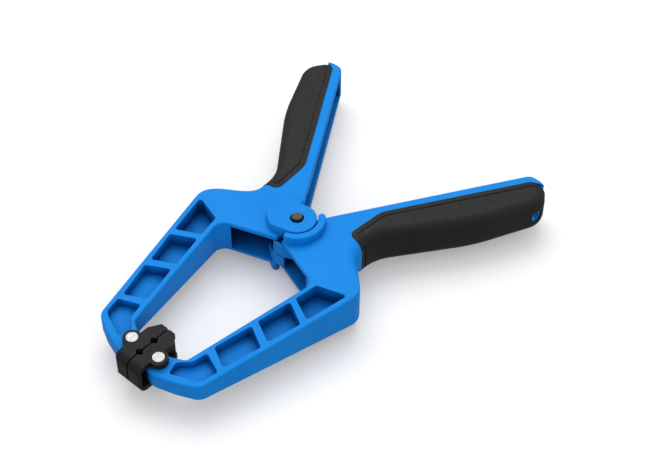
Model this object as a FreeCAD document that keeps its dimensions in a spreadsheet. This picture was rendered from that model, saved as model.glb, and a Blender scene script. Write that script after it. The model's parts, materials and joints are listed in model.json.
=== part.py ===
import FreeCAD, Part
import math
import os
from FreeCAD import Placement, Rotation, Vector

# Hand-operated spring clamp, in millimetres.  Two identical moulded levers, one turned over, cross at a
# steel pivot pin.  +X runs from the pivot to the jaws, +Z is the pivot axis, and the middle plane of the
# levers is z = 0.  The right lever holds the +Y arm and the +Y handle, and every outline below is drawn for
# it with the pivot at the sketch origin.  The row origin is the centre of the whole clamp's box.

DIMENSIONS = {
    "pivot_x": -4.32,            # pivot axis from the centre of the clamp's box
    "half_at_pivot": 11.35,      # half thickness of a lever at the pivot
    "arm_slope": 0.0593,         # half thickness lost per mm towards the jaws
    "handle_slope": 0.0177,      # half thickness lost per mm towards the handle's end
    "crest_radius": 520.0,       # blend between the two slopes
    "blank_half": 14.0,          # half height of the moulding before its faces are sloped
    "edge_fillet": 0.9,
    "waist_fillet": 6.0,         # the rim's rounding beside the grip, fading along the shoulder
    "web_half": 1.0,             # web between the arm's upper and lower pockets
    "cavity_half": 8.0,          # hollow that holds the spring
    "channel_half": 6.3,         # hollow inside the handle
    "handle_wall": 2.5,          # back wall of that hollow
    "recess_half": 7.8,          # handle core under the grip's skin
    "ear_radius": 10.3,          # pivot ears and the raised disc
    "ear_clearance": 0.4,
    "disc_bottom": 11.65,        # underside of the raised disc, clear of the other lever's ear
    "disc_top": 15.6,
    "zone_root": 9.4,            # where the raised zone is rooted in the flange
    "rib_inner": 10.9,           # C-shaped guard rib round the other lever's disc
    "rib_outer": 14.8,
    "rib_root": 9.6,
    "spigot_radius": 7.4,        # moulded spigot that centres the coil
    "spigot_end": 0.2,
    "pivot_radius": 2.4,
    "pivot_bore": 2.45,
    "pivot_head": 2.9,
    "head_recess": 3.65,
    "head_seat": 14.1,
    "pin_end": 17.0,
    "pin_chamfer": 0.45,
    "guard_inner": 13.3,         # curved wall across the throat, in front of the spring
    "guard_outer": 14.9,
    "guard_gap": 0.3,            # from the middle plane, where the other lever's wall begins
    "guard_end": 7.6,
    "eyelet_radius": 3.3,
    "eyelet_bore": 1.8,
    "eyelet_x": -96.1,
    "eyelet_z": 0.5,             # a little above the middle plane, clear of the parting line
    "eyelet_in": 68.0,
    "eyelet_out": 82.4,
    "grip_skin": 3.2,            # grip thickness over the back of the handle
    "grip_proud": 0.35,          # grip crown above the lever's face
    "grip_fillet": 6.0,
    "groove_inset": 3.0,         # decorative groove, from the grip's edge
    "groove_width": 0.6,
    "groove_floor": 11.2,        # at the pivot, on the handle's slope
    "dimple_x": -75.5,           # moulding gate on the back of the grip
    "dimple_z": 1.2,
    "dimple_radius": 0.6,
    "dimple_floor": 72.7,
    "jaw_x": 107.0,              # jaw pin axis from the pivot axis
    "jaw_y": 9.2,
    "jaw_bore": 2.05,
    "jaw_pin_radius": 2.0,
    "jaw_head": 3.13,
    "jaw_head_recess": 3.45,
    "jaw_head_seat": 7.9,
    "jaw_pin_end": 9.0,
    "jaw_pin_chamfer": 0.2,
    "pad_half": 8.6,
    "pad_slot_half": 5.65,
    "pad_face_y": 0.4,           # half the slit between the closed pads
    "pad_wall_y": 3.7,
    "pad_boss": 4.75,
    "pad_end": 119.6,
    "pad_end_round": 4.8,        # roll of the pad's end, seen from the side
    "pad_end_wall": 1.8,         # wall that closes the slot beyond the arm's tip
    "notch_half": 2.1,
    "notch_depth": 2.0,
    "wire_radius": 1.2,
    "coil_radius": 9.2,
    "coil_turns": 5.0,
    "leg_length": 46.0,
    "leg_angle": 145.0,
}

# Outline corners are (x, y, corner radius).
ARM_OUTLINE = [
    (13.6, 1.9, 0.8), (24.3, 32.4, 6.0), (97.6, 18.2, 3.0), (101.0, 11.5, 5.0),
    (101.95, 4.2, 4.6), (113.2, 4.2, 4.2), (114.6, 12.0, 10.0), (110.6, 24.2, 20.0),
    (105.4, 34.7, 7.0), (14.0, 55.4, 10.0), (-6.3, 35.0, 8.0),
]
HANDLE_BACK = [
    (-10.7, 35.0, 0.0), (-21.0, 35.0, 25.0), (-63.0, 67.3, 100.0), (-99.0, 85.2, 12.0),
    (-109.3, 78.1, 3.6), (-109.9, 76.4, 0.0),
]
HANDLE_INNER = [(-110.9, 73.5, 3.0), (-111.0, 66.9, 5.0), (-15.6, 9.0, 1.5)]
PIVOT_SIDE = [(-7.7, 4.6, 0.0), (8.9, 1.25, 0.0)]
GRIP_EDGE = [
    (-109.9, 76.4, 0.0), (-106.9, 70.4, 5.0), (-35.5, 26.6, 15.0), (-12.0, 24.7, 4.0), (-10.7, 35.0, 0.0),
]
SIDE_GROOVE = [(-14.05, 34.5, 0.0), (-13.4, 34.5, 0.0), (-13.1, 36.5, 0.0), (-13.75, 36.5, 0.0)]
POCKETS = [
    [(19.0, 51.2, 1.4), (24.0, 34.9, 1.4), (36.8, 32.7, 1.4), (43.1, 45.9, 1.4)],
    [(46.9, 45.4, 1.4), (40.0, 32.1, 1.4), (58.9, 28.2, 1.4), (65.2, 40.7, 1.4)],
    [(69.4, 40.3, 1.4), (62.8, 27.8, 1.4), (83.8, 23.1, 1.4), (89.8, 34.8, 1.4)],
    [(93.1, 34.7, 1.4), (88.4, 22.9, 1.4), (96.6, 21.2, 4.5), (101.9, 15.3, 2.5),
     (108.9, 17.3, 1.6), (102.6, 32.9, 5.0)],
]
CAVITY = [
    (22.6, 25.2, 1.0), (16.0, 40.5, 5.0), (12.4, 48.0, 3.0), (-4.5, 30.5, 6.0), (-14.0, 29.0, 3.0),
    (-24.0, 13.0, 0.0), (-14.0, -2.0, 0.0), (12.0, -2.0, 0.0), (30.0, 20.0, 0.0),
]
RAISED_ZONE = [
    (10.3, -0.5, 0.0), (12.6, 8.0, 5.0), (5.5, 17.0, 7.0), (-6.5, 16.2, 6.0), (-11.8, 6.8, 0.5),
    (-8.7, 5.1, 0.0), (0.0, -3.0, 0.0),
]
PAD_OUTLINE = [(91.6, 0.4, 0.4), (91.6, 4.6, 0.8), (97.6, 8.3, 1.2), (119.6, 8.3, 1.6), (119.6, 0.4, 0.4)]
# Ends of the curved bars round the pivot, in degrees from +X.
RIB_ENDS = (11.5, 147.0)
GUARD_ENDS = (-15.0, 62.0)
GUARD_ROOT_ENDS = (20.0, 62.0)  # where the guard wall hangs from the lever's own plate
NOTCH_CENTRES = (101.2, 110.7)

doc = FreeCAD.newDocument("spring_clamp")
sheet = doc.addObject("Spreadsheet::Sheet", "Dims")
for row_number, (alias, value) in enumerate(DIMENSIONS.items(), start=1):
    sheet.set(f"A{row_number}", alias)
    sheet.set(f"B{row_number}", str(value))
    sheet.setAlias(f"B{row_number}", alias)
doc.recompute()
SIZE = DIMENSIONS


def unit(start, end):
    """Unit direction from one outline corner to the next."""
    length = math.hypot(end[0] - start[0], end[1] - start[1])
    return (end[0] - start[0]) / length, (end[1] - start[1]) / length


def rounded_path(corners, closed):
    """Lines and tangent arcs through the corners, each corner rounded to its own radius."""
    count = len(corners)
    joints = []
    for index, corner in enumerate(corners):
        here = Vector(corner[0], corner[1], 0)
        is_end = not closed and index in (0, count - 1)
        if is_end or corner[2] <= 0:
            joints.append((here, None, here))
            continue
        back = unit(corner, corners[index - 1])
        ahead = unit(corner, corners[(index + 1) % count])
        half_angle = math.acos(max(-1.0, min(1.0, back[0] * ahead[0] + back[1] * ahead[1]))) / 2
        tangent = corner[2] / math.tan(half_angle)
        to_centre = corner[2] / math.sin(half_angle)
        bisector = unit((0, 0), (back[0] + ahead[0], back[1] + ahead[1]))
        reach = to_centre - corner[2]
        start = here + Vector(back[0] * tangent, back[1] * tangent, 0)
        middle = here + Vector(bisector[0] * reach, bisector[1] * reach, 0)
        end = here + Vector(ahead[0] * tangent, ahead[1] * tangent, 0)
        joints.append((start, middle, end))
    path = []
    for index, (start, middle, end) in enumerate(joints):
        if middle is not None:
            path.append(Part.Arc(start, middle, end))
        last = index == count - 1
        if last and not closed:
            break
        following = joints[(index + 1) % count][0]
        if (following - end).Length > 1e-6:
            path.append(Part.LineSegment(end, following))
    return path


def parallel(corners, distance):
    """The open outline moved sideways to its left by a distance, with its rounded corners kept."""
    lines = []
    for first, second in zip(corners, corners[1:]):
        along = unit(first, second)
        shift = (-along[1] * distance, along[0] * distance)
        lines.append(((first[0] + shift[0], first[1] + shift[1]), along, shift))
    moved = [(lines[0][0][0], lines[0][0][1], 0.0)]
    for index in range(1, len(lines)):
        (px, py), (ax, ay), _ = lines[index - 1]
        (qx, qy), (bx, by), _ = lines[index]
        turn = ax * by - ay * bx
        travel = ((qx - px) * by - (qy - py) * bx) / turn
        radius = corners[index][2]
        radius = radius - math.copysign(distance, turn) if radius > 0 else 0.0
        moved.append((px + ax * travel, py + ay * travel, max(radius, 0.0)))
    last = corners[-1]
    moved.append((last[0] + lines[-1][2][0], last[1] + lines[-1][2][1], 0.0))
    return moved


def new_body(label):
    body = doc.addObject("PartDesign::Body", label)
    body.Label = label
    return body


def new_sketch(body, name, role="XY_Plane"):
    sketch = body.newObject("Sketcher::SketchObject", name)
    plane = [item for item in body.Origin.OriginFeatures if item.Role == role][0]
    sketch.AttachmentSupport = [(plane, "")]
    sketch.MapMode = "FlatFace"
    return sketch


def circle(x, y, radius):
    return [Part.Circle(Vector(x, y, 0), Vector(0, 0, 1), radius)]


def prism(body, name, loops, low, high, cut=False, role="XY_Plane", tilt=0.0):
    """Add or cut the loops between two heights, which are expressions in the sheet's cells."""
    sketch = new_sketch(body, name + "_sketch", role)
    sketch.AttachmentOffset = Placement(Vector(), Rotation(Vector(0, 1, 0), tilt))
    for loop in loops:
        sketch.addGeometry(loop, False)
    kind = "PartDesign::Pocket" if cut else "PartDesign::Pad"
    feature = body.newObject(kind, name)
    feature.Profile = sketch
    sketch.setExpression("AttachmentOffset.Base.z", high if cut else low)
    feature.setExpression("Length", f"({high}) - ({low})")
    sketch.Visibility = False
    return feature


def slope_faces(body, name, extra):
    """Cut both faces to the lever's slopes: thickest at the pivot, thinner towards both ends."""
    far = 150.0
    top = SIZE["blank_half"] + 4.0
    crest = SIZE["half_at_pivot"] + extra
    jaw_side = crest - SIZE["arm_slope"] * far
    handle_side = crest - SIZE["handle_slope"] * far
    profile = [
        (-far, handle_side, 0.0), (0.0, crest, SIZE["crest_radius"]), (far, jaw_side, 0.0),
        (far, top, 0.0), (-far, top, 0.0),
    ]
    sketch = new_sketch(body, name + "_sketch", "XZ_Plane")
    sketch.addGeometry(rounded_path(profile, True), False)
    sketch.addGeometry(rounded_path([(x, -z, r) for x, z, r in profile], True), False)
    feature = body.newObject("PartDesign::Pocket", name)
    feature.Profile = sketch
    feature.Length = 2 * far
    feature.Midplane = True
    return feature


def fillet(body, name, radius, wanted):
    """Round the edges of the body's present shape that the wanted test picks."""
    doc.recompute()
    base = body.Tip
    names = [f"Edge{number}" for number, edge in enumerate(base.Shape.Edges, start=1) if wanted(edge)]
    feature = body.newObject("PartDesign::Fillet", name)
    feature.Base = (base, names)
    feature.setExpression("Radius", radius)
    doc.recompute()
    return feature


def along_outline(corners):
    """Test that picks the upper and lower rim edges whose middle lies over an open outline."""
    outline = Part.Wire([piece.toShape() for piece in rounded_path(corners, False)])

    def wanted(edge):
        first, last = edge.ParameterRange
        middle = edge.valueAt((first + last) / 2)
        over = Part.Vertex(middle.x, middle.y, 0).distToShape(outline)[0] < 0.05
        steep = edge.BoundBox.ZLength > 7.0
        return over and not steep

    return wanted


def make_blank(label, outline):
    """The lever's sloped slab with its rims rounded, more broadly beside the grip."""
    slab = new_body(label + "_slab")
    prism(slab, label + "_outline", [rounded_path(outline, True)], "0 - Dims.blank_half", "Dims.blank_half")
    slope_faces(slab, label + "_slopes", 0.0)
    doc.recompute()

    on_rim = along_outline(ARM_OUTLINE + HANDLE_BACK[1:-1] + HANDLE_INNER + [PIVOT_SIDE[0]])
    waist_x, waist_y, waist_radius = ARM_OUTLINE[-1]

    def radius_at(vertex):
        near_waist = math.hypot(vertex.X - waist_x, vertex.Y - waist_y) < waist_radius
        return SIZE["waist_fillet"] if near_waist else SIZE["edge_fillet"]

    # Both rims are followed from the handle to the arm, so an edge's first radius is at its smaller x.
    rims = []
    for number, edge in enumerate(slab.Shape.Edges, start=1):
        if on_rim(edge):
            start, end = sorted(edge.Vertexes, key=lambda vertex: vertex.X)
            rims.append((number, radius_at(start), radius_at(end)))
    blank = doc.addObject("Part::Fillet", label + "_blank")
    blank.Base = slab
    blank.Edges = rims
    doc.recompute()
    return blank


def make_lever(label):
    body = new_body(label)
    body.BaseFeature = make_blank(label, ARM_OUTLINE + HANDLE_BACK[1:-1] + HANDLE_INNER + PIVOT_SIDE)

    pocket_loops = [rounded_path(pocket, True) for pocket in POCKETS]
    prism(body, label + "_upper_pockets", pocket_loops, "Dims.web_half", "Dims.blank_half", cut=True)
    prism(body, label + "_lower_pockets", pocket_loops, "0 - Dims.blank_half", "0 - Dims.web_half", cut=True)

    outside = [(-10.7, 60.0, 0.0), (-60.0, 100.0, 0.0), (-125.0, 100.0, 0.0), (-125.0, 76.4, 0.0)]
    recess_loop = [rounded_path(GRIP_EDGE + outside, True)]
    prism(body, label + "_upper_recess", recess_loop, "Dims.recess_half", "Dims.blank_half", cut=True)
    prism(body, label + "_lower_recess", recess_loop, "0 - Dims.blank_half", "0 - Dims.recess_half", cut=True)

    core_back = parallel(HANDLE_BACK, SIZE["grip_skin"])
    front_foot, front_top = GRIP_EDGE[-2:]
    lean = (front_top[0] - front_foot[0]) / (front_top[1] - front_foot[1])
    core_front = (front_top[0] - lean * SIZE["grip_skin"], core_back[0][1], 0.0)
    skin = [core_front] + core_back[1:] + [HANDLE_BACK[-1]] + outside[::-1] + [front_top]
    skin_loop = rounded_path(skin, True)
    prism(body, label + "_skin_recess", [skin_loop], "0 - Dims.blank_half", "Dims.blank_half", cut=True)

    inner_wall = parallel(core_back[1:-1], SIZE["handle_wall"])
    channel = [(-13.0, 27.0, 0.0)] + inner_wall[:-1] + [
        (-103.6, 72.0, 3.0), (-106.8, 56.0, 0.0), (-12.0, -1.0, 0.0), (-6.0, 8.0, 0.0)]
    prism(body, label + "_channel", [rounded_path(channel, True)],
          "0 - Dims.channel_half", "Dims.channel_half", cut=True)
    prism(body, label + "_cavity", [rounded_path(CAVITY, True)],
          "0 - Dims.cavity_half", "Dims.cavity_half", cut=True)

    prism(body, label + "_plate_ear", [circle(0, 0, SIZE["ear_radius"])],
          "Dims.cavity_half", "Dims.half_at_pivot - 0.15")
    prism(body, label + "_raised_zone", [rounded_path(RAISED_ZONE, True)],
          "0 - Dims.disc_top", "0 - Dims.zone_root")
    prism(body, label + "_disc", [circle(0, 0, SIZE["ear_radius"])],
          "0 - Dims.disc_top", "0 - Dims.disc_bottom")
    clear_radius = SIZE["ear_radius"] + SIZE["ear_clearance"]
    prism(body, label + "_ear_clearance", [circle(0, 0, clear_radius)],
          "0 - Dims.disc_bottom", "0 - Dims.cavity_half + 0.2", cut=True)

    rib = curved_bar(SIZE["rib_inner"], SIZE["rib_outer"], RIB_ENDS)
    prism(body, label + "_guard_rib", [rib], "Dims.rib_root", "Dims.disc_top")

    def on_raised_rim(edge):
        return edge.BoundBox.ZLength < 0.01 and abs(abs(edge.CenterOfGravity.z) - SIZE["disc_top"]) < 0.01

    fillet(body, label + "_raised_edges", "Dims.edge_fillet * 0.8", on_raised_rim)

    guard_radii = (SIZE["guard_inner"], SIZE["guard_outer"])
    prism(body, label + "_guard_root", [curved_bar(*guard_radii, GUARD_ROOT_ENDS)],
          "Dims.guard_end - 0.5", "Dims.cavity_half + 0.5")
    prism(body, label + "_guard_wall", [curved_bar(*guard_radii, GUARD_ENDS)],
          "Dims.guard_gap", "Dims.guard_end")
    prism(body, label + "_spigot", [circle(0, 0, SIZE["spigot_radius"])],
          "Dims.spigot_end", "Dims.cavity_half + 0.5")
    prism(body, label + "_pivot_bore", [circle(0, 0, SIZE["pivot_bore"])],
          "0 - Dims.pin_end", "Dims.pin_end", cut=True)
    prism(body, label + "_head_recess", [circle(0, 0, SIZE["head_recess"])],
          "0 - Dims.pin_end", "0 - Dims.head_seat", cut=True)
    prism(body, label + "_jaw_bore", [circle(SIZE["jaw_x"], SIZE["jaw_y"], SIZE["jaw_bore"])],
          "0 - Dims.blank_half", "Dims.blank_half", cut=True)

    eyelet = (SIZE["eyelet_x"], SIZE["eyelet_z"])
    prism(body, label + "_eyelet", [circle(*eyelet, SIZE["eyelet_radius"])],
          "0 - Dims.eyelet_out", "0 - Dims.eyelet_out + 6", role="XZ_Plane")
    prism(body, label + "_eyelet_bore", [circle(*eyelet, SIZE["eyelet_bore"])],
          "0 - Dims.eyelet_out - 1", "0 - Dims.eyelet_in", cut=True, role="XZ_Plane")
    return body


def curved_bar(inner, outer, ends):
    """C-shaped outline round the pivot between two radii, with half-round ends at the two angles."""
    middle = (inner + outer) / 2
    cap_angle = math.degrees((outer - inner) / 2 / middle)

    def at(radius, degrees):
        angle = math.radians(degrees)
        return Vector(radius * math.cos(angle), radius * math.sin(angle), 0)

    first, last = ends[0] + cap_angle, ends[1] - cap_angle
    centre = (first + last) / 2
    return [
        Part.Arc(at(outer, first), at(outer, centre), at(outer, last)),
        Part.Arc(at(outer, last), at(middle, ends[1]), at(inner, last)),
        Part.Arc(at(inner, last), at(inner, centre), at(inner, first)),
        Part.Arc(at(inner, first), at(middle, ends[0]), at(outer, first)),
    ]


def make_grip(label):
    """Soft overmould: a C-shaped skin over the back, top and bottom of the handle's core."""
    body = new_body(label)
    plan = GRIP_EDGE + HANDLE_BACK[1:-1]
    prism(body, label + "_blank", [rounded_path(plan, True)], "0 - Dims.blank_half", "Dims.blank_half")
    slope_faces(body, label + "_slopes", SIZE["grip_proud"])

    fillet(body, label + "_round_back", "Dims.grip_fillet", along_outline(HANDLE_BACK))

    core_back = parallel(HANDLE_BACK, SIZE["grip_skin"])
    core = core_back + [HANDLE_BACK[-1], (-125.0, 60.0, 0.0), (-125.0, 0.0, 0.0), (0.0, 0.0, 0.0),
                        (0.0, core_back[0][1], 0.0)]
    prism(body, label + "_core", [rounded_path(core, True)],
          "0 - Dims.recess_half", "Dims.recess_half", cut=True)
    prism(body, label + "_eyelet", [circle(SIZE["eyelet_x"], SIZE["eyelet_z"], SIZE["eyelet_radius"])],
          "0 - Dims.eyelet_out - 4", "0 - Dims.eyelet_in", cut=True, role="XZ_Plane")

    near_line = parallel(GRIP_EDGE, SIZE["groove_inset"] - SIZE["groove_width"] / 2)
    far_line = parallel(GRIP_EDGE, SIZE["groove_inset"] + SIZE["groove_width"] / 2)
    groove = [rounded_path(near_line + far_line[::-1], True)]
    slope = math.degrees(math.atan(SIZE["handle_slope"]))
    prism(body, label + "_upper_groove", groove, "Dims.groove_floor", "Dims.blank_half + 2",
          cut=True, tilt=-slope)
    prism(body, label + "_lower_groove", groove, "0 - Dims.blank_half - 2", "0 - Dims.groove_floor",
          cut=True, tilt=slope)
    prism(body, label + "_side_groove", [rounded_path(SIDE_GROOVE, True)],
          "0 - Dims.blank_half", "Dims.blank_half", cut=True)
    prism(body, label + "_gate_dimple", [circle(SIZE["dimple_x"], SIZE["dimple_z"], SIZE["dimple_radius"])],
          "0 - Dims.eyelet_out", "0 - Dims.dimple_floor", cut=True, role="XZ_Plane")
    return body


def make_pad(label):
    """Swivel jaw pad: a contact wall with V notches and two ears round the tip of the arm."""
    body = new_body(label)
    prism(body, label + "_blank", [rounded_path(PAD_OUTLINE, True)], "0 - Dims.pad_half", "Dims.pad_half")

    end, half, roll = SIZE["pad_end"], SIZE["pad_half"], SIZE["pad_end_round"]
    above_roll = [(end - roll, half, 0.0), (end, half, roll), (end, half - roll, 0.0),
                  (end + 2, half - roll, 0.0), (end + 2, half + 2, 0.0), (end - roll, half + 2, 0.0)]
    below_roll = [(x, -z, r) for x, z, r in above_roll]
    prism(body, label + "_round_end", [rounded_path(above_roll, True), rounded_path(below_roll, True)],
          "-20", "20", cut=True, role="XZ_Plane")
    prism(body, label + "_boss", [circle(SIZE["jaw_x"], SIZE["jaw_y"], SIZE["pad_boss"])],
          "0 - Dims.pad_half", "Dims.pad_half")

    wall_x = end - SIZE["pad_end_wall"]
    slot = [(80.0, SIZE["pad_wall_y"], 0.0), (wall_x, SIZE["pad_wall_y"], 1.0), (wall_x, 25.0, 0.0),
            (80.0, 25.0, 0.0)]
    prism(body, label + "_slot", [rounded_path(slot, True)],
          "0 - Dims.pad_slot_half", "Dims.pad_slot_half", cut=True)
    face, spread, depth = SIZE["pad_face_y"], SIZE["notch_half"], SIZE["notch_depth"]
    notches = [
        rounded_path([(x - spread, face - 0.5, 0.0), (x - spread, face, 0.0), (x, face + depth, 0.0),
                      (x + spread, face, 0.0), (x + spread, face - 0.5, 0.0)], True)
        for x in NOTCH_CENTRES
    ]
    prism(body, label + "_notches", notches, "0 - Dims.pad_half - 1", "Dims.pad_half + 1", cut=True)
    pin = (SIZE["jaw_x"], SIZE["jaw_y"])
    prism(body, label + "_bore", [circle(*pin, SIZE["jaw_pin_radius"])],
          "0 - Dims.pad_half - 1", "Dims.pad_half + 1", cut=True)
    prism(body, label + "_upper_seat", [circle(*pin, SIZE["jaw_head_recess"])],
          "Dims.jaw_head_seat", "Dims.pad_half + 1", cut=True)
    prism(body, label + "_lower_seat", [circle(*pin, SIZE["jaw_head_recess"])],
          "0 - Dims.pad_half - 1", "0 - Dims.jaw_head_seat", cut=True)
    return body


def make_pin(label, shank, head, seat, end, chamfer):
    """Steel rivet with a flat head at each end, turned as one profile about its own axis."""
    profile = [
        (0.0, -SIZE[end], 0.0), (SIZE[head] - chamfer, -SIZE[end], 0.0), (SIZE[head], chamfer - SIZE[end], 0.0),
        (SIZE[head], -SIZE[seat], 0.0), (SIZE[shank], -SIZE[seat], 0.0), (SIZE[shank], SIZE[seat], 0.0),
        (SIZE[head], SIZE[seat], 0.0), (SIZE[head], SIZE[end] - chamfer, 0.0),
        (SIZE[head] - chamfer, SIZE[end], 0.0), (0.0, SIZE[end], 0.0),
    ]
    body = new_body(label)
    sketch = new_sketch(body, label + "_sketch", "XZ_Plane")
    sketch.addGeometry(rounded_path(profile, True), False)
    turned = body.newObject("PartDesign::Revolution", label + "_turned")
    turned.Profile = sketch
    turned.ReferenceAxis = (sketch, ["V_Axis"])
    turned.Angle = 360.0
    return body


def make_spring():
    """Torsion spring: a close-wound coil as a ribbed sleeve, and a leg into each handle."""
    wire, mean, turns = SIZE["wire_radius"], SIZE["coil_radius"], int(SIZE["coil_turns"])
    top = wire * turns
    profile = []
    for turn in range(turns):
        low = -top + 2 * wire * turn
        corner = Vector(mean + wire * 0.4, 0, low)
        crest = Vector(mean + wire, 0, low + wire)
        following = Vector(mean + wire * 0.4, 0, low + 2 * wire)
        profile.append(Part.Arc(corner, crest, following).toShape())
    inside = mean - wire
    outer_low, outer_high = Vector(mean + wire * 0.4, 0, -top), Vector(mean + wire * 0.4, 0, top)
    profile.append(Part.makeLine(outer_high, Vector(inside, 0, top)))
    profile.append(Part.makeLine(Vector(inside, 0, top), Vector(inside, 0, -top)))
    profile.append(Part.makeLine(Vector(inside, 0, -top), outer_low))
    coil = Part.Face(Part.Wire(profile)).revolve(Vector(0, 0, 0), Vector(0, 0, 1), 360)
    for side in (1, -1):
        heading = math.radians(SIZE["leg_angle"])
        direction = Vector(math.cos(heading), side * math.sin(heading), 0)
        tangent = math.radians(SIZE["leg_angle"] - 90)
        start = Vector(mean * math.cos(tangent), side * mean * math.sin(tangent), side * (top - wire))
        leg = Part.makeCylinder(wire, SIZE["leg_length"], start, direction)
        coil = coil.fuse(leg)
    return coil.removeSplitter()


def build():
    pivot = Vector(SIZE["pivot_x"], 0, 0)
    flipped = Rotation(Vector(1, 0, 0), 180)
    nodes = []
    for side, turn in (("right", Rotation()), ("left", flipped)):
        for maker, label in ((make_lever, "lever_"), (make_grip, "grip_"), (make_pad, "jaw_pad_")):
            body = maker(label + side)
            body.Placement = Placement(pivot, turn)
            nodes.append(body)
        pin = make_pin("jaw_pin_" + side, "jaw_pin_radius", "jaw_head", "jaw_head_seat", "jaw_pin_end",
                       SIZE["jaw_pin_chamfer"])
        axis = turn.multVec(Vector(SIZE["jaw_x"], SIZE["jaw_y"], 0))
        pin.Placement = Placement(pivot + axis, Rotation())
        nodes.append(pin)
    pin = make_pin("pivot_pin", "pivot_radius", "pivot_head", "head_seat", "pin_end", SIZE["pin_chamfer"])
    pin.Placement = Placement(pivot, Rotation())
    nodes.append(pin)
    spring = doc.addObject("Part::Feature", "torsion_spring")
    spring.Label = "torsion_spring"
    spring.Shape = make_spring()
    spring.Placement = Placement(pivot, Rotation())
    nodes.append(spring)
    return nodes


def check(nodes):
    for item in doc.Objects:
        if "Invalid" in item.State or "Error" in item.State:
            raise RuntimeError(f"{item.Label} failed: {item.State}")
    for node in nodes:
        if node.Shape.isNull() or not node.Shape.isValid() or len(node.Shape.Solids) != 1:
            raise RuntimeError(f"{node.Label} is not one valid solid")


def main():
    nodes = build()
    doc.recompute()
    check(nodes)
    os.makedirs("parts", exist_ok=True)
    whole = FreeCAD.BoundBox()
    for node in nodes:
        node.Shape.exportStep(f"parts/{node.Label}.step")
        whole.add(node.Shape.BoundBox)
        print(f"{node.Label}: {node.Shape.Volume / 1000:.2f} cm3")
    print(f"x {whole.XMin:.2f} to {whole.XMax:.2f}, y {whole.YMin:.2f} to {whole.YMax:.2f}")


main()
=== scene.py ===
import json
import math

import bpy
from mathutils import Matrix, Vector


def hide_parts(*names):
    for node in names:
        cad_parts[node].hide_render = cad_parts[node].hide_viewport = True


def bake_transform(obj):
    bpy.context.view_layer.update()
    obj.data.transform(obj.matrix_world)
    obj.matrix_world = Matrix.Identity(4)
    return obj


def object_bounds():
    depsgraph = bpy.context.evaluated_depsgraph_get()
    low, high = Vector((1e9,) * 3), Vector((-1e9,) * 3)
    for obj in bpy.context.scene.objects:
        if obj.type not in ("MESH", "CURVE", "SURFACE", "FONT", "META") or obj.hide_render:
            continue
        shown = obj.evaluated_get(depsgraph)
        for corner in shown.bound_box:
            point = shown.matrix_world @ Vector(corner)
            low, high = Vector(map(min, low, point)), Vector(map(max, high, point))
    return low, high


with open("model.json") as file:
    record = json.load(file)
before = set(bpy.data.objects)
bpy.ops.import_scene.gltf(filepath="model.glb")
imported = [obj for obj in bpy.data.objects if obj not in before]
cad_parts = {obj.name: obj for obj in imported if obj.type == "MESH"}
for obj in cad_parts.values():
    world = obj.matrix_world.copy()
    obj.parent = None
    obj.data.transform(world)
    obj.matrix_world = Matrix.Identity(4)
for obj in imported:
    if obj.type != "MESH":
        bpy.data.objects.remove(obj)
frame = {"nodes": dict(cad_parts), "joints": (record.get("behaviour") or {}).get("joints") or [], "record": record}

CAD_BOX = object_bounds()
MM = 0.001

# The part's frame: +X to the jaws, +Z along the pivot pin, right lever on the +Y side.
joint_at = {joint["name"]: joint["pos_m"] for joint in frame["joints"]}
PIVOT = Vector(joint_at["main_pivot"])
PIVOT_AXIS = (PIVOT.x, PIVOT.y)
JAW_AXIS = joint_at["right_pad_swivel"][:2]
FLOOR_Z = CAD_BOX[0][2]

# ------------------------------------------------------------------ camera, floor and light

VIEW_AZIMUTH = math.radians(131.88)
VIEW_ELEVATION = math.radians(46.05)
VIEW_DISTANCE = 0.7551
VIEW_TARGET = PIVOT + Vector((-12.11 * MM, 6.66 * MM, 0.0))
SENSOR_WIDTH = 36.0
LENS = 80.9
CLIP_START = 10.0 * MM

WHITE = (1.0, 1.0, 1.0, 1.0)
FLOOR_HALF = 3.0
FLOOR_GREY = (0.86, 0.86, 0.86, 1.0)
FLOOR_GLOW = 0.22

SKY_BELOW = 0.42                    # strength of the surroundings under the horizon and overhead
SKY_ABOVE = 0.68
SKY_FROM = -0.1                     # heights of the view direction between which the two blend
SKY_TO = 0.25

KEY_PLACE = (-0.30, -0.40, 0.90)
KEY_SIZE = (1.0, 0.8)
KEY_POWER = 5.2
FILL_PLACE = (0.45, 0.85, 0.50)
FILL_SIZE = (0.9, 0.6)
FILL_POWER = 1.2


def make_camera():
    back = Vector((math.sin(VIEW_AZIMUTH) * math.cos(VIEW_ELEVATION),
                   -math.cos(VIEW_AZIMUTH) * math.cos(VIEW_ELEVATION),
                   math.sin(VIEW_ELEVATION)))
    data = bpy.data.cameras.new("camera")
    data.sensor_width = SENSOR_WIDTH
    data.lens = LENS
    data.clip_start = CLIP_START
    camera = bpy.data.objects.new("camera", data)
    camera.location = VIEW_TARGET + back * VIEW_DISTANCE
    camera.rotation_euler = (-back).to_track_quat("-Z", "Y").to_euler()
    bpy.context.scene.collection.objects.link(camera)
    bpy.context.scene.camera = camera


def make_floor():
    """A pale sheet that catches shadows but throws no light back on the clamp."""
    mesh = bpy.data.meshes.new("floor")
    corners = [(x * FLOOR_HALF, y * FLOOR_HALF, FLOOR_Z) for x, y in ((-1, -1), (1, -1), (1, 1), (-1, 1))]
    mesh.from_pydata(corners, [], [(0, 1, 2, 3)])
    floor = bpy.data.objects.new("floor", mesh)
    bpy.context.scene.collection.objects.link(floor)
    paint = bpy.data.materials.new("floor_paper")
    paint.use_nodes = True
    shader = paint.node_tree.nodes["Principled BSDF"]
    shader.inputs["Base Color"].default_value = FLOOR_GREY
    shader.inputs["Emission Color"].default_value = WHITE
    shader.inputs["Emission Strength"].default_value = FLOOR_GLOW
    shader.inputs["Roughness"].default_value = 0.9
    shader.inputs["Specular IOR Level"].default_value = 0.1
    mesh.materials.append(paint)
    floor.visible_diffuse = False
    floor.visible_glossy = False


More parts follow.
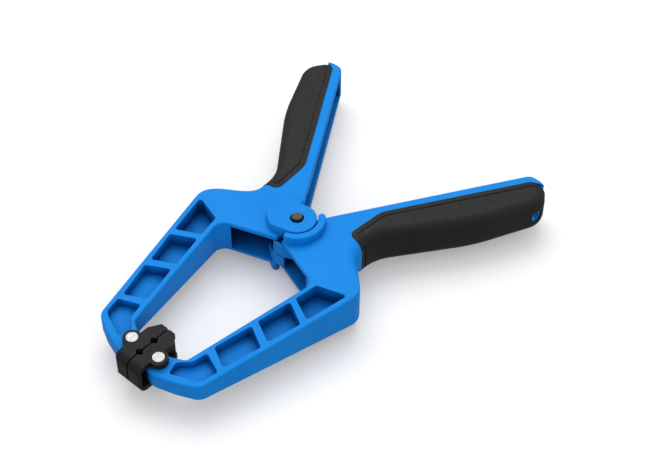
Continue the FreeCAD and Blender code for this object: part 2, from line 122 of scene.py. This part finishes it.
def make_surroundings():
    """White on every side, brighter overhead than under the horizon."""
    world = bpy.data.worlds.new("studio")
    world.use_nodes = True
    nodes, links = world.node_tree.nodes, world.node_tree.links
    split = nodes.new("ShaderNodeSeparateXYZ")
    links.new(nodes.new("ShaderNodeTexCoord").outputs["Generated"], split.inputs["Vector"])
    height = nodes.new("ShaderNodeMapRange")
    height.inputs["From Min"].default_value = SKY_FROM
    height.inputs["From Max"].default_value = SKY_TO
    height.inputs["To Min"].default_value = SKY_BELOW
    height.inputs["To Max"].default_value = SKY_ABOVE
    links.new(split.outputs["Z"], height.inputs["Value"])
    background = nodes["Background"]
    background.inputs["Color"].default_value = WHITE
    links.new(height.outputs["Result"], background.inputs["Strength"])
    bpy.context.scene.world = world
    bpy.context.scene.view_settings.view_transform = "Standard"


def area_light(name, place, size, power, shines=True):
    """A soft box aimed at the clamp; one that doesn't shine leaves no highlights."""
    data = bpy.data.lights.new(name, "AREA")
    data.shape = "RECTANGLE"
    data.size, data.size_y = size
    data.energy = power
    lamp = bpy.data.objects.new(name, data)
    lamp.location = place
    lamp.rotation_euler = (-Vector(place)).to_track_quat("-Z", "Y").to_euler()
    lamp.visible_glossy = shines
    bpy.context.scene.collection.objects.link(lamp)


# ------------------------------------------------------------------ materials

MOTTLE_LOW = 0.3                    # noise values between which a finish turns from dark to light
MOTTLE_HIGH = 0.7
HIGHLIGHT_SHARE = 0.5                    # how far a sharp edge goes towards the painted highlight colour


class Shade:
    """A material's node tree, with short calls for the nodes used here."""

    def __init__(self, name):
        self.material = bpy.data.materials.new(name)
        self.material.use_nodes = True
        self.nodes = self.material.node_tree.nodes
        self.links = self.material.node_tree.links
        self.shader = self.nodes["Principled BSDF"]
        self.place = self.nodes.new("ShaderNodeTexCoord").outputs["Object"]

    def fixed(self, socket, value):
        self.shader.inputs[socket].default_value = value

    def drive(self, socket, output):
        self.links.new(output, self.shader.inputs[socket])

    def stretched(self, scale):
        mapping = self.nodes.new("ShaderNodeMapping")
        mapping.inputs["Scale"].default_value = scale
        self.links.new(self.place, mapping.inputs["Vector"])
        return mapping.outputs["Vector"]

    def noise(self, scale, detail=2.0, rough=0.5, where=None):
        node = self.nodes.new("ShaderNodeTexNoise")
        node.inputs["Scale"].default_value = scale
        node.inputs["Detail"].default_value = detail
        node.inputs["Roughness"].default_value = rough
        self.links.new(where or self.place, node.inputs["Vector"])
        return node.outputs["Fac"]

    def cells(self, scale):
        node = self.nodes.new("ShaderNodeTexVoronoi")
        node.inputs["Scale"].default_value = scale
        self.links.new(self.place, node.inputs["Vector"])
        return node.outputs["Distance"]

    def remap(self, value, low, high, to_low, to_high):
        node = self.nodes.new("ShaderNodeMapRange")
        node.inputs["From Min"].default_value = low
        node.inputs["From Max"].default_value = high
        node.inputs["To Min"].default_value = to_low
        node.inputs["To Max"].default_value = to_high
        self.links.new(value, node.inputs["Value"])
        return node.outputs["Result"]

    def mottle(self, value, dark, light):
        """A colour that drifts from dark to light as the value rises."""
        node = self.nodes.new("ShaderNodeValToRGB")
        stops = ((MOTTLE_LOW, dark), (MOTTLE_HIGH, light))
        for element, (position, colour) in zip(node.color_ramp.elements, stops):
            element.position = position
            element.color = (*colour, 1.0)
        self.links.new(value, node.inputs["Fac"])
        return node.outputs["Color"]

    def blend(self, factor, first, second):
        node = self.nodes.new("ShaderNodeMix")
        node.data_type = "RGBA"
        self.links.new(factor, node.inputs["Factor"])
        self.links.new(first, node.inputs["A"])
        self.links.new(second, node.inputs["B"])
        return node.outputs["Result"]

    def combine(self, operation, first, second):
        node = self.nodes.new("ShaderNodeMath")
        node.operation = operation
        for socket, value in zip(node.inputs, (first, second)):
            if isinstance(value, (int, float)):
                socket.default_value = value
            else:
                self.links.new(value, socket)
        return node.outputs["Value"]

    def edge_highlight_share(self, radius, flat, sharp):
        """Share of the painted highlight colour: 0 on flat ground, rising where the surface turns within a radius.
        """
        bevel = self.nodes.new("ShaderNodeBevel")
        bevel.samples = 4
        bevel.inputs["Radius"].default_value = radius
        geometry = self.nodes.new("ShaderNodeNewGeometry")
        turned = self.nodes.new("ShaderNodeVectorMath")
        turned.operation = "DOT_PRODUCT"
        self.links.new(bevel.outputs["Normal"], turned.inputs[0])
        self.links.new(geometry.outputs["Normal"], turned.inputs[1])
        return self.remap(turned.outputs["Value"], flat, sharp, 0.0, HIGHLIGHT_SHARE)

    def rings(self, axis, pitch):
        """Rings from 0 to 1 about the upright axes at (x, y) and (x, -y)."""
        split = self.nodes.new("ShaderNodeSeparateXYZ")
        self.links.new(self.place, split.inputs["Vector"])
        ahead = self.combine("SUBTRACT", split.outputs["X"], axis[0])
        beside = self.combine("SUBTRACT", self.combine("ABSOLUTE", split.outputs["Y"], 0.0), axis[1])
        square = self.combine("ADD", self.combine("MULTIPLY", ahead, ahead),
                              self.combine("MULTIPLY", beside, beside))
        distance = self.combine("SQRT", square, 0.0)
        wave = self.combine("SINE", self.combine("MULTIPLY", distance, 2 * math.pi / pitch), 0.0)
        return self.combine("MULTIPLY", self.combine("ADD", wave, 1.0), 0.5)

    def openness(self, distance, closed, free):
        """How much open space a point has around it: 0 deep in a hollow, 1 on an outer face; the mask for painted
        shade.
        """
        node = self.nodes.new("ShaderNodeAmbientOcclusion")
        node.samples = 6
        node.inputs["Distance"].default_value = distance
        return self.remap(node.outputs["AO"], closed, free, 0.0, 1.0)

    def bump(self, height, distance, strength):
        node = self.nodes.new("ShaderNodeBump")
        node.inputs["Distance"].default_value = distance
        node.inputs["Strength"].default_value = strength
        self.links.new(height, node.inputs["Height"])
        self.links.new(node.outputs["Normal"], self.shader.inputs["Normal"])


def blue_plastic():
    """Satin moulded plastic, with painted shade darkening its recesses and a painted highlight paling its edges.
    """
    shade = Shade("blue_plastic")
    drift = shade.noise(35.0, 3.0)
    # painted shade: a near-black blue laid into the recesses, where ambient occlusion finds little open space
    painted_recess_shade = shade.mottle(drift, (0.0002, 0.006, 0.10), (0.0003, 0.008, 0.12))
    body = shade.mottle(drift, (0.004, 0.240, 0.76), (0.006, 0.262, 0.81))
    # painted highlight: a paler blue along the sharp edges
    edge_highlight = shade.mottle(drift, (0.010, 0.285, 0.83), (0.015, 0.30, 0.86))
    outer = shade.blend(shade.edge_highlight_share(0.5 * MM, 0.995, 0.93), body, edge_highlight)
    # the painted shade takes over from the lit colour as the open space around a point shrinks
    shade.drive("Base Color", shade.blend(shade.openness(26 * MM, 0.1, 0.62), painted_recess_shade, outer))
    scuffs = shade.noise(900.0, 4.0, 0.6, shade.stretched((1.0, 0.25, 1.0)))
    shade.drive("Roughness", shade.remap(scuffs, 0.3, 0.75, 0.4, 0.54))
    ripple = shade.combine("MULTIPLY", shade.noise(420.0, 2.0), 0.6)
    shade.bump(shade.combine("ADD", shade.noise(2600.0, 2.0), ripple), 0.03 * MM, 0.6)
    shade.fixed("Specular IOR Level", 0.08)
    return shade.material


def grip_rubber():
    """Soft black overmoulding with a fine pebbled surface."""
    shade = Shade("grip_rubber")
    drift = shade.noise(45.0, 3.0)
    shade.drive("Base Color", shade.mottle(drift, (0.0085, 0.0085, 0.0085), (0.0125, 0.0125, 0.0125)))
    shade.drive("Roughness", shade.remap(shade.noise(300.0, 3.0), 0.3, 0.7, 0.5, 0.62))
    shade.bump(shade.combine("ADD", shade.cells(2400.0), shade.noise(1500.0, 3.0)), 0.05 * MM, 0.5)
    shade.fixed("Specular IOR Level", 0.24)
    return shade.material


def pad_plastic():
    """Matte black moulding, with a painted highlight greying its edges."""
    shade = Shade("pad_plastic")
    drift = shade.noise(120.0, 3.0)
    body = shade.mottle(drift, (0.008, 0.0075, 0.0075), (0.012, 0.0115, 0.0115))
    # painted highlight: a paler grey along the sharp edges
    edge_highlight = shade.mottle(drift, (0.020, 0.019, 0.019), (0.030, 0.029, 0.029))
    shade.drive("Base Color", shade.blend(shade.edge_highlight_share(0.35 * MM, 0.99, 0.9), body, edge_highlight))
    shade.drive("Roughness", shade.remap(shade.noise(700.0, 3.0), 0.3, 0.7, 0.45, 0.62))
    shade.bump(shade.combine("ADD", shade.cells(1900.0), shade.noise(3200.0, 2.0)), 0.05 * MM, 0.5)
    shade.fixed("Specular IOR Level", 0.2)
    return shade.material


RING_PITCH = 0.55 * MM


def steel(name, dark, light, smoothest, roughest, turned_about=None):
    """Worn steel; a head turned about the axes at (x, +-y) also has fine concentric marks."""
    shade = Shade(name)
    marks = shade.noise(700.0, 4.0, 0.6)
    surface = shade.noise(1800.0, 3.0)
    if turned_about is not None:
        rings = shade.rings(turned_about, RING_PITCH)
        marks = shade.combine("ADD", shade.combine("MULTIPLY", marks, 0.7),
                              shade.combine("MULTIPLY", rings, 0.3))
        surface = shade.combine("ADD", surface, rings)
    shade.drive("Base Color", shade.mottle(marks, dark, light))
    shade.drive("Roughness", shade.remap(shade.noise(1500.0, 3.0), 0.3, 0.7, smoothest, roughest))
    shade.bump(surface, 0.02 * MM, 0.6)
    shade.fixed("Metallic", 1.0)
    return shade.material


def make_finishes():
    bronze_grey = ((0.035, 0.029, 0.022), (0.10, 0.084, 0.066))
    bright_zinc = ((0.34, 0.34, 0.33), (0.62, 0.62, 0.61))
    oiled_black = ((0.02, 0.02, 0.02), (0.06, 0.06, 0.06))
    return {
        "blue_plastic": blue_plastic(),
        "grip_rubber": grip_rubber(),
        "pad_plastic": pad_plastic(),
        "pivot_steel": steel("pivot_steel", *bronze_grey, 0.3, 0.45, PIVOT_AXIS),
        "jaw_pin_steel": steel("jaw_pin_steel", *bright_zinc, 0.4, 0.55, JAW_AXIS),
        "spring_steel": steel("spring_steel", *oiled_black, 0.25, 0.4),
    }


def paint_nodes(finishes):
    for part in frame["record"]["subparts"]:
        mesh = frame["nodes"][part["node"]].data
        mesh.materials.clear()
        mesh.materials.append(finishes[part["material_slot"]])


# ------------------------------------------------------------------ the spring's wire

WIRE_RADIUS = 1.1 * MM
WIRE_SIDES = 14
COIL_RADIUS = 9.2 * MM
LEG_LENGTH = 44.0 * MM
LEG_START = math.radians(55.0)      # where each leg leaves the coil, seen from the pivot
LEG_STEPS = 12
FULL_TURNS = 4
TURN_STEPS = 36
WIRE_TOP = 4.85 * MM                # height of the last turn's centre line; the first lies as far below


def spring_path():
    """Centre line of the wire, from the left leg's end round the coil to the right leg's end."""
    points = []
    sweep = 2 * LEG_START + 2 * math.pi * FULL_TURNS
    heading = LEG_START + math.pi / 2
    steps = TURN_STEPS * (FULL_TURNS + 1)
    start = Vector((math.cos(LEG_START), -math.sin(LEG_START), 0.0)) * COIL_RADIUS
    leg = Vector((math.cos(heading), -math.sin(heading), 0.0)) * LEG_LENGTH
    low, high = Vector((0.0, 0.0, -WIRE_TOP)), Vector((0.0, 0.0, WIRE_TOP))
    for step in range(LEG_STEPS, 0, -1):
        points.append(start + leg * (step / LEG_STEPS) + low)
    for step in range(steps + 1):
        share = step / steps
        angle = sweep * share - LEG_START
        points.append(Vector((COIL_RADIUS * math.cos(angle), COIL_RADIUS * math.sin(angle),
                              WIRE_TOP * (2 * share - 1))))
    end = Vector((start.x, -start.y, 0.0))
    leg.y = -leg.y
    for step in range(1, LEG_STEPS + 1):
        points.append(end + leg * (step / LEG_STEPS) + high)
    return [PIVOT + point for point in points]


def tube(name, path, radius, sides):
    """A round wire along a path that never runs upright, closed at both ends."""
    vertices, faces = [], []
    up = Vector((0.0, 0.0, 1.0))
    for index, point in enumerate(path):
        ahead = path[min(index + 1, len(path) - 1)] - path[max(index - 1, 0)]
        across = ahead.cross(up).normalized()
        over = across.cross(ahead).normalized()
        for side in range(sides):
            angle = 2 * math.pi * side / sides
            vertices.append(point + (across * math.cos(angle) + over * math.sin(angle)) * radius)
    for ring in range(len(path) - 1):
        for side in range(sides):
            here, beside = ring * sides + side, ring * sides + (side + 1) % sides
            faces.append((here, here + sides, beside + sides, beside))
    faces.append(tuple(range(sides)))
    faces.append(tuple(reversed(range((len(path) - 1) * sides, len(path) * sides))))
    mesh = bpy.data.meshes.new(name)
    mesh.from_pydata(vertices, [], faces)
    for face in mesh.polygons:
        face.use_smooth = len(face.vertices) == 4
    mesh.update()
    piece = bpy.data.objects.new(name, mesh)
    bpy.context.scene.collection.objects.link(piece)
    return piece


def make_spring(finish):
    """The wound wire: its top leg lies in the right handle, its bottom leg in the left one."""
    piece = tube("spring_wire", spring_path(), WIRE_RADIUS, WIRE_SIDES)
    piece.data.materials.append(finish)
    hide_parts("torsion_spring")
    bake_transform(piece)


make_camera()
make_floor()
make_surroundings()
area_light("key", KEY_PLACE, KEY_SIZE, KEY_POWER)
area_light("fill", FILL_PLACE, FILL_SIZE, FILL_POWER, shines=False)
finishes = make_finishes()
paint_nodes(finishes)
make_spring(finishes["spring_steel"])
